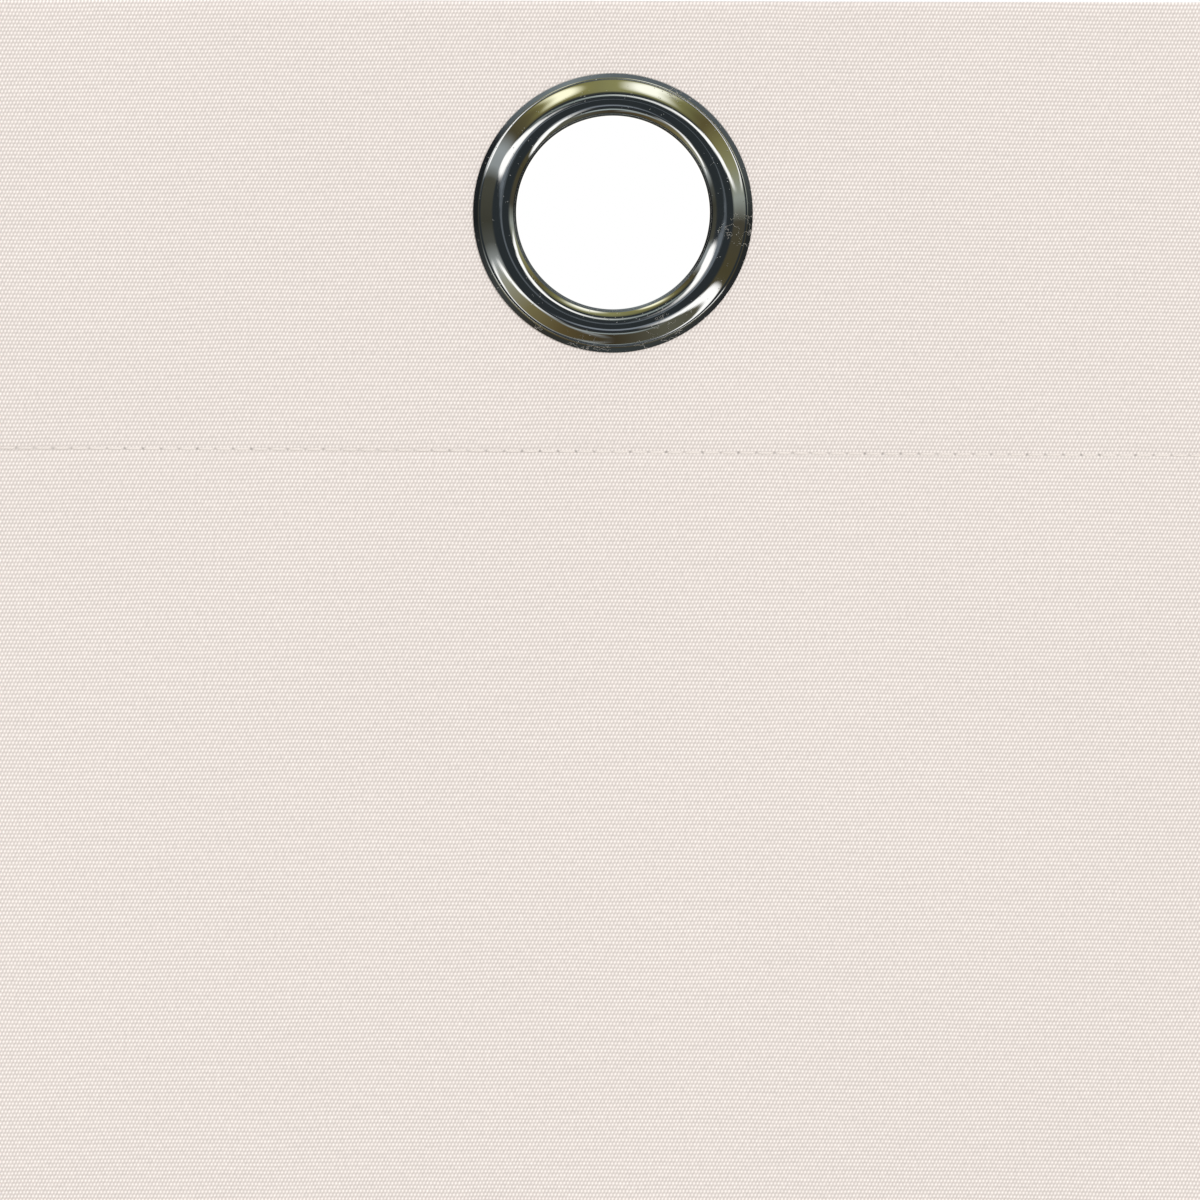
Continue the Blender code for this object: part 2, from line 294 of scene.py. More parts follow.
def side_hem_piece(name, edge, inwards, material):
    """A side hem: the cloth's edge turned in twice behind the panel, carried from the bottom hem up to
    the header. Its section leaves the panel's edge backwards, bends inwards, runs flat to the hem's
    inner fold and comes back between the layers to its raw edge."""
    skin = THICKNESS / 2
    small = (OUTER_Y - TUCK_Y) / 2
    bend = np.radians(np.linspace(180, 90, 6))
    turn = np.radians(np.linspace(90, -90, 9))
    outer_run = stops((skin + small, 4 * MM), (SIDE_HEM - skin - small, 0))
    back_run = stops((SIDE_HEM - skin - small, 4 * MM), (SIDE_HEM - HEM_TUCK, 0))
    section = np.concatenate([
        [[skin, FRONT_Y + THICKNESS + 0.05 * MM]],
        np.stack([skin + small + small * np.cos(bend), OUTER_Y - small + small * np.sin(bend)], axis=-1),
        np.stack([outer_run, np.full_like(outer_run, OUTER_Y)], axis=-1)[1:],
        np.stack([
            SIDE_HEM - skin - small + small * np.cos(turn),
            (OUTER_Y + TUCK_Y) / 2 + small * np.sin(turn),
        ], axis=-1)[1:],
        np.stack([back_run, np.full_like(back_run, TUCK_Y)], axis=-1)[1:],
    ])
    travelled = np.concatenate([[0], np.cumsum(np.linalg.norm(np.diff(section, axis=0), axis=1))])
    tangent = np.gradient(section, travelled, axis=0)
    tangent /= np.linalg.norm(tangent, axis=1, keepdims=True)
    heights = stops((HEM_TOP + 0.2 * MM, 13 * MM), (HEADER_EDGE - 0.2 * MM, 0))
    if inwards < 0:
        heights = heights[::-1]
    along, across = np.meshgrid(heights, edge + inwards * section[:, 0])
    depth = np.repeat(section[:, 1:], len(heights), axis=1)
    points = np.stack([across, depth + wave(across, along), along], axis=-1)
    outward = np.zeros_like(points)
    outward[..., 0] = inwards * -tangent[:, 1:]
    outward[..., 1] = tangent[:, :1]
    uv = np.stack([edge - inwards * np.repeat(travelled[:, None], len(heights), axis=1), along], axis=-1)
    kept = np.ones((len(section) - 1, len(heights) - 1), bool)
    return sheet_piece(name, points, outward, uv, kept, material), travelled[-1]


def stitch_points(centres, direction, facing):
    """Stitches as flattened pods of thread. With t from -1 to 1 along the pod, each ring is an ellipse
    whose size is the square root of 1 - t^4, and its middle sinks by t^2 towards the pod's ends."""
    along = np.linspace(-1, 1, 7)
    turn = np.linspace(0, 2 * math.pi, 6, endpoint=False)
    size = np.maximum(1 - along ** 4, 0.02) ** 0.5
    facing = np.asarray(facing, float)
    direction = np.asarray(direction, float)
    across = np.cross(facing, direction)
    length, wide, high, sink = 0.45 * STITCH, 0.24 * MM, 0.05 * MM, 0.03 * MM
    rise = sink * (1 - along ** 2) - sink
    pod = (
        along[:, None, None] * length * direction
        + (size[:, None] * np.cos(turn))[..., None] * wide * across
        + (rise[:, None] + high * size[:, None] * np.sin(turn))[..., None] * facing
    )
    return centres[:, None, None, :] + pod, along * length, turn


def stitching_piece(name, rows_of_stitches, material):
    """All the stitches of a span in one piece, from (centres, direction, facing) for each row."""
    points, quads, uv, count = [], [], [], 0
    for centres, direction, facing in rows_of_stitches:
        pods, along, turn = stitch_points(centres, direction, facing)
        stitches, rings, sides = pods.shape[:3]
        at = np.arange(stitches * rings * sides).reshape(stitches, rings, sides) + count
        following = np.roll(at, -1, axis=2)
        body = np.stack([at[:, :-1], following[:, :-1], following[:, 1:], at[:, 1:]], axis=-1)
        caps = []
        for ring, order in ((0, (3, 2, 1, 0)), (rings - 1, (0, 1, 2, 3))):
            for corner in (0, 3):
                four = np.stack([at[:, ring, (corner + k) % sides] for k in range(4)], axis=-1)
                caps.append(four[:, order])
        u = np.broadcast_to(along[:, None], (rings, sides))
        v = np.broadcast_to(turn * 0.2 * MM, (rings, sides))
        place = np.broadcast_to(np.stack([u, v], axis=-1), (stitches, rings, sides, 2)).reshape(-1, 2)
        row_quads = np.concatenate([body.reshape(-1, 4), *caps])
        points.append(pods.reshape(-1, 3))
        quads.append(row_quads)
        uv.append(place[row_quads - count])
        count += stitches * rings * sides
    return mesh_piece(
        name, np.concatenate(points), np.concatenate(quads), np.concatenate(uv), material
    )


def stitch_row(start, end, height, depth, facing_y):
    """Centres of a level row of stitches between two X values, riding on the cloth's surface."""
    first = math.ceil((start - LEFT) / STITCH - 0.5)
    last = math.floor((end - LEFT) / STITCH - 0.5)
    x = LEFT + (np.arange(first, last + 1) + 0.5) * STITCH
    x = x[(x > LEFT + 2 * MM) & (x < RIGHT - 2 * MM)]
    z = np.full_like(x, height)
    guided = SEAM_WANDER * np.cos(2 * math.pi / WANDER_LENGTH * x + WANDER_PHASE)
    centres = np.stack([x, depth + wave(x, z), z + guided], axis=-1)
    return centres, (1, 0, 0), (0, facing_y, 0)


def turned_piece(name, centre_x, outline, segments, turn_offset, material):
    """A closed (radius, y) outline turned once round the line through an eyelet's centre. U is the
    distance round at the middle of the flange, and V the distance along the outline."""
    outline = np.asarray(outline, float)
    count = len(outline)
    turn = np.linspace(0, 2 * math.pi, segments, endpoint=False)
    points = np.stack([
        centre_x + np.outer(np.cos(turn), outline[:, 0]),
        np.broadcast_to(outline[:, 1], (segments, count)),
        np.outer(np.sin(turn), outline[:, 0]),
    ], axis=-1)
    at = np.arange(segments * count).reshape(segments, count)
    beside, onward = np.roll(at, -1, axis=1), np.roll(at, -1, axis=0)
    across = np.roll(onward, -1, axis=1)
    quads = np.stack([at, beside, across, onward], axis=-1).reshape(-1, 4)
    closed = np.concatenate([outline, outline[:1]])
    travelled = np.concatenate([[0], np.cumsum(np.linalg.norm(np.diff(closed, axis=0), axis=1))])
    arc = (np.linspace(0, 2 * math.pi, segments + 1) + turn_offset) * 24 * MM
    u, v = np.meshgrid(arc, travelled, indexing="ij")
    grid = np.stack([u, v], axis=-1)
    quad_uv = np.stack([grid[:-1, :-1], grid[:-1, 1:], grid[1:, 1:], grid[1:, :-1]], axis=2)
    return mesh_piece(name, points.reshape(-1, 3), quads, quad_uv.reshape(-1, 4, 2), material, 60)


def smooth_line(knots, steps):
    """A Catmull-Rom curve through the knots, with the same number of steps between each two."""
    knots = np.asarray(knots, float)
    padded = np.concatenate([[2 * knots[0] - knots[1]], knots, [2 * knots[-1] - knots[-2]]])
    t = np.linspace(0, 1, steps, endpoint=False)[:, None, None]
    a, b, c, d = padded[:-3], padded[1:-2], padded[2:-1], padded[3:]
    curve = 0.5 * (
        2 * b + (c - a) * t + (2 * a - 5 * b + 4 * c - d) * t ** 2 + (3 * b - a - 3 * c + d) * t ** 3
    )
    return np.concatenate([curve.transpose(1, 0, 2).reshape(-1, 2), knots[-1:]])


def ring_outline():
    """The eyelet ring's section: an elliptic bead from the bore to its crest, a slope that steepens to 33
    degrees and eases off into a crease, and a lip that turns down to the cloth at 40 degrees or more. The
    heights in front of the cloth are the running sum of the slope from the crest outwards. The numbers
    are in millimetres, and heights count from the face of the cloth."""
    behind = (FRONT_FACE - RING_BACK) / MM
    bore, crest, edge, height = 20.0, 23.27, 28.98, 2.95
    rise = 0.6 * (crest - bore)
    turn = np.radians(np.linspace(180, 90, 14))
    bead = np.stack([
        crest + (crest - bore) * np.cos(turn), height - rise + rise * np.sin(turn)
    ], axis=-1)
    out = np.concatenate([
        np.linspace(0, 3.9, 27)[1:], np.linspace(3.9, 4.7, 15)[1:], np.linspace(4.7, edge - crest, 9)[1:]
    ])
    slope = np.interp(
        out, [0, 0.7, 1.4, 1.75, 2.1, 2.5, 3.0, 3.5, 4.0, 4.2, 4.35, 4.47, 4.55, 4.7, 5.0, 5.6, 5.8],
        [0, 0.132, 0.285, 0.38, 0.50, 0.583, 0.65, 0.64, 0.53, 0.38, 0.17, 0, 0.5, 0.82, 0.86, 0.92, 0.96],
    )
    steps = np.diff(np.concatenate([[0], out]))
    fall = np.cumsum((slope + np.concatenate([[0], slope[:-1]])) / 2 * steps)
    band = np.stack([crest + out, height - fall], axis=-1)
    curl = smooth_line([
        (23.5, behind + 0.35), (23.0, behind + 0.06), (22.2, behind + 0.02), (21.2, behind + 0.14),
        (20.35, behind + 0.65), (20.03, behind + 1.5), (20.0, -1.3),
    ], 5)
    under = smooth_line([
        (28.85, 0.02), (28.5, 0.04), (27.8, 0.45), (26.8, 0.75), (25.4, 1.35), (24.2, 1.95), (23.2, 2.1),
        (22.2, 2.0), (21.3, 1.6), (20.85, 0.9), (20.7, 0.0), (20.7, -1.3), (20.72, behind + 1.7),
        (21.1, behind + 1.0), (21.8, behind + 0.62), (22.8, behind + 0.62), (23.3, behind + 0.75),
    ], 2)
    both = np.concatenate([curl, bead, band, under]) * MM
    both[:, 1] = FRONT_FACE - both[:, 1]
    return both


def washer_outline():
    """The back washer's section: a rounded collar round the barrel, a slope and a flat lip that presses on
    the cloth, with a rolled outer edge."""
    y0, y1 = WASHER_FRONT / MM, WASHER_BACK / MM
    outline = smooth_line([
        (21.45, y0 + 0.95), (21.5, y1 - 0.12), (21.8, y1), (23.2, y1), (23.7, y1 - 0.12), (24.6, y1 - 0.5),
        (25.5, y1 - 0.78), (26.4, y1 - 0.82), (27.6, y1 - 0.72), (28.1, y1 - 0.78), (28.4, y0 + 0.38),
        (28.42, y0 + 0.1), (28.25, y0),
    ], 4)
    under = smooth_line([
        (27.6, y0 + 0.05), (26.2, y0), (25.2, y0 + 0.08), (24.2, y0 + 0.5), (23.2, y0 + 0.85),
    ], 3)
    return np.concatenate([outline, under])[::-1] * MM


# ---------------------------------------------------------------- materials

def colour(hex_code):
    """Linear RGBA of an sRGB hex colour."""
    parts = [int(hex_code[i:i + 2], 16) / 255 for i in (1, 3, 5)]
    linear = [c / 12.92 if c <= 0.04045 else ((c + 0.055) / 1.055) ** 2.4 for c in parts]
    return (*linear, 1)


def add(tree, kind, inputs=None, **settings):
    """Adds one node, with its settings, and its inputs set or linked. Returns its first output."""
    made = tree.nodes.new(kind)
    for name, value in settings.items():
        setattr(made, name, value)
    for name, value in (inputs or {}).items():
        if isinstance(value, bpy.types.NodeSocket):
            tree.links.new(value, made.inputs[name])
        else:
            made.inputs[name].default_value = value
    return made.outputs[0]


def new_material(name):
    material = bpy.data.materials.new(name)
    material.use_nodes = True
    return material, material.node_tree, material.node_tree.nodes["Principled BSDF"]


def woven_cotton_canvas():
    """Unbleached cotton canvas, plain woven from fine warp ends over thick weft picks. The eye sees rows of
    pale warp floats, half a step out from row to row, with the gaps between them painted greyer as shade,
    needle holes painted as grey dots of shade, uneven yarns and no gloss."""
    material, tree, shader = new_material("woven_cotton_canvas")
    uv = add(tree, "ShaderNodeUVMap", uv_map="UVMap")
    place = add(tree, "ShaderNodeSeparateXYZ", {0: uv}).node.outputs
    # yarns wander by a part of their own spacing over a few centimetres
    wander = add(tree, "ShaderNodeTexNoise", {"Vector": uv, "Scale": 40.0, "Detail": 3.0, "Roughness": 0.6})
    drift = add(tree, "ShaderNodeSeparateColor", {0: wander.node.outputs["Color"]}).node.outputs
    # the weft bows over half a metre, and the warp leans by 0.7 degrees
    bow = add(tree, "ShaderNodeMath", {
        0: place["X"], 1: 2 * math.pi / BOW_LENGTH, 2: BOW_PHASE,
    }, operation="MULTIPLY_ADD")
    bow = add(tree, "ShaderNodeMath", {0: bow}, operation="COSINE")
    pick = add(tree, "ShaderNodeMath", {0: bow, 1: -BOW, 2: place["Y"]}, operation="MULTIPLY_ADD")
    pick = add(tree, "ShaderNodeMath", {0: pick, 1: 1 / PICK}, operation="MULTIPLY")
    pick = add(tree, "ShaderNodeMath", {0: drift["Red"], 1: 0.9, 2: pick}, operation="MULTIPLY_ADD")
    end = add(tree, "ShaderNodeMath", {0: place["Y"], 1: -0.0124, 2: place["X"]}, operation="MULTIPLY_ADD")
    end = add(tree, "ShaderNodeMath", {0: end, 1: 1 / END}, operation="MULTIPLY")
    end = add(tree, "ShaderNodeMath", {0: drift["Green"], 1: 1.5, 2: end}, operation="MULTIPLY_ADD")
    # plain weave: a row of warp floats on each pick, half a step out from the next. The floats lean with
    # the warp's twist, so the diagonal that runs up to the right is the stronger of the two
    weave = 0.0
    for thread, frequency, strength in (
        (add(tree, "ShaderNodeMath", {0: pick, 1: end}, operation="SUBTRACT"), math.pi, 1.0),
        (add(tree, "ShaderNodeMath", {0: pick, 1: end}, operation="ADD"), math.pi, -0.5),
        (pick, 2 * math.pi, -0.8),
    ):
        part = add(tree, "ShaderNodeMath", {0: thread, 1: frequency}, operation="MULTIPLY")
        part = add(tree, "ShaderNodeMath", {0: part}, operation="COSINE")
        weave = add(tree, "ShaderNodeMath", {0: part, 1: strength, 2: weave}, operation="MULTIPLY_ADD")
    floats = add(tree, "ShaderNodeMapRange", {"Value": weave, "From Min": -1.7, "From Max": 2.3})
    # thick and thin yarns: streaks one pick high and a few centimetres long, then specks of a few threads
    streak_place = add(tree, "ShaderNodeCombineXYZ", {
        "X": add(tree, "ShaderNodeMath", {0: place["X"], 1: 70.0}, operation="MULTIPLY"),
        "Y": add(tree, "ShaderNodeMath", {0: pick, 1: 0.8}, operation="MULTIPLY"),
    })
    streak = add(tree, "ShaderNodeTexNoise", {"Vector": streak_place, "Scale": 1.0, "Detail": 2.0})
    speck_place = add(tree, "ShaderNodeCombineXYZ", {
        "X": add(tree, "ShaderNodeMath", {0: end, 1: 0.45}, operation="MULTIPLY"),
        "Y": add(tree, "ShaderNodeMath", {0: pick, 1: 0.7}, operation="MULTIPLY"),
        "Z": 7.0,
    })
    speck = add(tree, "ShaderNodeTexNoise", {"Vector": speck_place, "Scale": 1.0, "Detail": 1.0})
    cloud = add(tree, "ShaderNodeTexNoise", {"Vector": uv, "Scale": 9.0, "Detail": 3.0})
    uneven = add(tree, "ShaderNodeMath", {0: streak, 1: 0.4, 2: speck}, operation="MULTIPLY_ADD")
    uneven = add(tree, "ShaderNodeMath", {0: cloud, 1: 0.35, 2: uneven}, operation="MULTIPLY_ADD")
    shade = add(tree, "ShaderNodeMapRange", {
        "Value": uneven, "From Min": 0.45, "From Max": 1.3, "To Min": 0.90, "To Max": 1.05,
    })
    # painted shade: the gaps between the floats get the greyer colour, standing in for the shade that falls
    # between the yarns
    yarn_with_gap_shade = add(tree, "ShaderNodeMix", {
        "Factor": floats, "A": colour("#CAC1BC"), "B": colour("#FFF8F3"),
    }, data_type="RGBA").node.outputs["Result"]
    tinted = add(tree, "ShaderNodeVectorMath", {0: yarn_with_gap_shade, "Scale": shade}, operation="SCALE")
    # needle holes along the header's and the hem's seams, painted as grey dots: painted shade inside each
    # hole
    hole_x = add(tree, "ShaderNodeMath", {0: place["X"], 1: -LEFT}, operation="ADD")
    hole_x = add(tree, "ShaderNodeMath", {0: hole_x, 1: 1 / STITCH}, operation="MULTIPLY")
    hole_x = add(tree, "ShaderNodeMath", {0: hole_x, 1: 0.5}, operation="PINGPONG")
    guided = add(tree, "ShaderNodeMath", {
        0: place["X"], 1: 2 * math.pi / WANDER_LENGTH, 2: WANDER_PHASE,
    }, operation="MULTIPLY_ADD")
    guided = add(tree, "ShaderNodeMath", {0: guided}, operation="COSINE")
    pierced = 9.0
    for seam in (SEAM, HEM_SEAM):
        off = add(tree, "ShaderNodeMath", {
            0: guided, 1: -SEAM_WANDER, 2: place["Y"],
        }, operation="MULTIPLY_ADD")
        off = add(tree, "ShaderNodeMath", {0: off, 1: -seam}, operation="ADD")
        off = add(tree, "ShaderNodeMath", {0: off, 1: 1 / STITCH}, operation="MULTIPLY")
        away = add(tree, "ShaderNodeVectorMath", {0: add(
            tree, "ShaderNodeCombineXYZ", {"X": hole_x, "Y": off}
        )}, operation="LENGTH").node.outputs["Value"]
        pierced = add(tree, "ShaderNodeMath", {0: pierced, 1: away}, operation="MINIMUM")
    # some needle holes close again more than others and get less painted shade
    closed = add(tree, "ShaderNodeTexNoise", {"Vector": uv, "Scale": 230.0, "Detail": 0.0})
    closed = add(tree, "ShaderNodeMapRange", {
        "Value": closed, "From Min": 0.36, "From Max": 0.62, "To Min": 0.86, "To Max": 0.62,
    })
    hole_dip_and_shade = add(tree, "ShaderNodeMapRange", {
        "Value": pierced, "From Min": 0.03, "From Max": 0.13, "To Min": closed, "To Max": 1.0,
    }, interpolation_type="SMOOTHSTEP")
    # painted shade: the colour darkens in each needle hole
    tinted = add(tree, "ShaderNodeVectorMath", {0: tinted, "Scale": hole_dip_and_shade}, operation="SCALE")
    tree.links.new(tinted, shader.inputs["Base Color"])
    # floats stand about a tenth of a millimetre proud of the gaps
    relief = add(tree, "ShaderNodeMath", {0: weave, 1: 0.5, 2: hole_dip_and_shade}, operation="MULTIPLY_ADD")
    bump = add(tree, "ShaderNodeBump", {"Strength": 0.6, "Distance": 0.10 * MM, "Height": relief})
    tree.links.new(bump, shader.inputs["Normal"])
    shader.inputs["Roughness"].default_value = 0.92
    shader.inputs["Specular IOR Level"].default_value = 0.25
    shader.inputs["Sheen Weight"].default_value = 0.12
    shader.inputs["Sheen Roughness"].default_value = 0.5
    return material


def spun_polyester_thread():
    """Matching spun polyester sewing thread, two plies twisted together. The eye sees small slanting ridges
    along each stitch, with painted shade darkening the grooves between the plies, and a slightly smoother,
    warmer surface than the canvas."""
    material, tree, shader = new_material("spun_polyester_thread")
    uv = add(tree, "ShaderNodeUVMap", uv_map="UVMap")
    place = add(tree, "ShaderNodeSeparateXYZ", {0: uv}).node.outputs
    turned = add(tree, "ShaderNodeMath", {
        0: place["X"], 1: 2 * math.pi / (0.55 * MM),
    }, operation="MULTIPLY")
    turned = add(tree, "ShaderNodeMath", {
        0: place["Y"], 1: 1 / (0.1 * MM), 2: turned,
    }, operation="MULTIPLY_ADD")
    ply = add(tree, "ShaderNodeMath", {0: turned}, operation="SINE")
    # painted shade: the colour follows the ply ridges, darker in the grooves between the plies
    shade = add(tree, "ShaderNodeMapRange", {"Value": ply, "From Min": -1.0})
    mixed = add(tree, "ShaderNodeMix", {
        "Factor": shade, "A": colour("#E2DAD4"), "B": colour("#ECE4DE"),
    }, data_type="RGBA").node.outputs["Result"]
    tree.links.new(mixed, shader.inputs["Base Color"])
    bump = add(tree, "ShaderNodeBump", {"Strength": 0.5, "Distance": 0.05 * MM, "Height": ply})
    tree.links.new(bump, shader.inputs["Normal"])
    shader.inputs["Roughness"].default_value = 0.7
    return material


def plated_metal(name, tint, smoothest, roughest, wear):
    """Stamped steel, polished and nickel plated. The eye sees sharp reflections, faint rings left by the
    die, specks and a few scuffs where the plating is rubbed."""
    material, tree, shader = new_material(name)
    uv = add(tree, "ShaderNodeUVMap", uv_map="UVMap")
    place = add(tree, "ShaderNodeSeparateXYZ", {0: uv}).node.outputs
    # scratches: thin wandering lines, the level lines of a noise, only where a broad noise is high
    marks = add(tree, "ShaderNodeTexNoise", {
        "Vector": uv, "Scale": 300.0, "Detail": 3.0, "Roughness": 0.65,
    })
    marks = add(tree, "ShaderNodeMath", {0: marks, 1: 0.5, 2: 0.005}, operation="COMPARE")
    patch = add(tree, "ShaderNodeTexNoise", {"Vector": uv, "Scale": 85.0, "Detail": 0.0})
    rubbed = add(tree, "ShaderNodeMapRange", {"Value": patch, "From Min": 0.725, "From Max": 0.745})
    scuff = add(tree, "ShaderNodeMath", {0: marks, 1: rubbed}, operation="MULTIPLY")
    # specks: pits a tenth of a millimetre across in the plating
    pits = add(tree, "ShaderNodeTexVoronoi", {"Vector": uv, "Scale": 1500.0}).node.outputs["Distance"]
    pit = add(tree, "ShaderNodeMapRange", {
        "Value": pits, "From Min": 0.05, "From Max": 0.16, "To Min": 1.0, "To Max": 0.0,
    }, interpolation_type="SMOOTHSTEP")
    dusty = add(tree, "ShaderNodeTexNoise", {"Vector": uv, "Scale": 330.0, "Detail": 2.0})
    dusty = add(tree, "ShaderNodeMapRange", {"Value": dusty, "From Min": 0.52, "From Max": 0.66})
    pit = add(tree, "ShaderNodeMath", {0: pit, 1: dusty}, operation="MULTIPLY")
    harm = add(tree, "ShaderNodeMath", {0: scuff, 1: pit}, operation="MAXIMUM")
    rough = add(tree, "ShaderNodeMapRange", {"Value": harm, "To Min": smoothest, "To Max": roughest})
    tree.links.new(rough, shader.inputs["Roughness"])
    # die rings: a wave along the section, a third of a millimetre apart
    die = add(tree, "ShaderNodeMath", {0: place["Y"], 1: 2 * math.pi / (0.33 * MM)}, operation="MULTIPLY")
    die = add(tree, "ShaderNodeMath", {0: die}, operation="SINE")
    ripple = add(tree, "ShaderNodeTexNoise", {"Vector": uv, "Scale": 160.0, "Detail": 2.0})
    ripple = add(tree, "ShaderNodeMath", {0: ripple, 1: 0.35}, operation="MULTIPLY")
    relief = add(tree, "ShaderNodeMath", {0: die, 1: 0.012, 2: ripple}, operation="MULTIPLY_ADD")
    relief = add(tree, "ShaderNodeMath", {0: harm, 1: -wear, 2: relief}, operation="MULTIPLY_ADD")
    bump = add(tree, "ShaderNodeBump", {"Strength": 1.0, "Distance": 0.05 * MM, "Height": relief})
    tree.links.new(bump, shader.inputs["Normal"])
    shader.inputs["Base Color"].default_value = colour(tint)
    shader.inputs["Metallic"].default_value = 1.0
    return material


def painted_floor():
    """Matt white studio floor, rolled paint. The eye sees an even pale ground with the faintest mottle."""
    material, tree, shader = new_material("painted_floor")
    place = add(tree, "ShaderNodeTexCoord").node.outputs["Object"]
    mottle = add(tree, "ShaderNodeTexNoise", {"Vector": place, "Scale": 3.0, "Detail": 4.0})
    mixed = add(tree, "ShaderNodeMix", {
        "Factor": mottle, "A": colour("#CFCDCA"), "B": colour("#D7D5D2"),
    }, data_type="RGBA").node.outputs["Result"]
    tree.links.new(mixed, shader.inputs["Base Color"])
    shader.inputs["Roughness"].default_value = 0.85
    return material


# ---------------------------------------------------------------- camera, floor and light

def add_camera():
    """A long lens square to the header, so that the view takes in about a quarter of a metre of cloth."""
    data = bpy.data.cameras.new("camera")
    data.lens, data.sensor_width = 180.0, 36.0
    camera = bpy.data.objects.new("camera", data)
    distance = VIEW_WIDTH * data.lens / data.sensor_width
    camera.location = (EYELET_X[VIEWED_EYELET - 1] + VIEW_RIGHT, FRONT_Y - distance, -VIEW_DOWN)
    camera.rotation_euler = (math.pi / 2, math.radians(-0.15), 0)
    data.clip_start, data.clip_end = 0.05, 200
    bpy.context.scene.collection.objects.link(camera)
    bpy.context.scene.camera = camera


def add_floor():
    """A flat square of floor, two centimetres under the hem. Polished metal doesn't mirror it."""
    half = 60.0
    level = BOTTOM - 0.02
    mesh = bpy.data.meshes.new("floor")
    mesh.from_pydata(
        [(-half, -half, level), (half, -half, level), (half, half, level), (-half, half, level)],
        [], [(0, 1, 2, 3)],
    )
    mesh.materials.append(painted_floor())
    floor = bpy.data.objects.new("floor", mesh)
    bpy.context.scene.collection.objects.link(floor)
    floor.visible_glossy = False


def add_sun(name, azimuth, elevation, strength, spread):
    """A soft distant lamp in front of the panel at azimuth degrees to the right, or behind it past 90."""
    data = bpy.data.lights.new(name, "SUN")
    data.energy, data.angle = strength, math.radians(spread)
    lamp = bpy.data.objects.new(name, data)
    a, e = math.radians(azimuth), math.radians(elevation)
    towards = (math.sin(a) * math.cos(e), -math.cos(a) * math.cos(e), math.sin(e))
    lamp.rotation_euler = Vector(towards).to_track_quat("Z", "Y").to_euler()
    lamp.visible_glossy = False
    bpy.context.scene.collection.objects.link(lamp)


def ramp_stops(ramp_output, places):
    """Fills a colour ramp from (position, hex colour) pairs."""
    ramp = ramp_output.node.color_ramp
    while len(ramp.elements) > 1:
        ramp.elements.remove(ramp.elements[-1])
    for i, (position, code) in enumerate(places):
        element = ramp.elements[0] if i == 0 else ramp.elements.new(position)
        element.position = position
        element.color = colour(code)


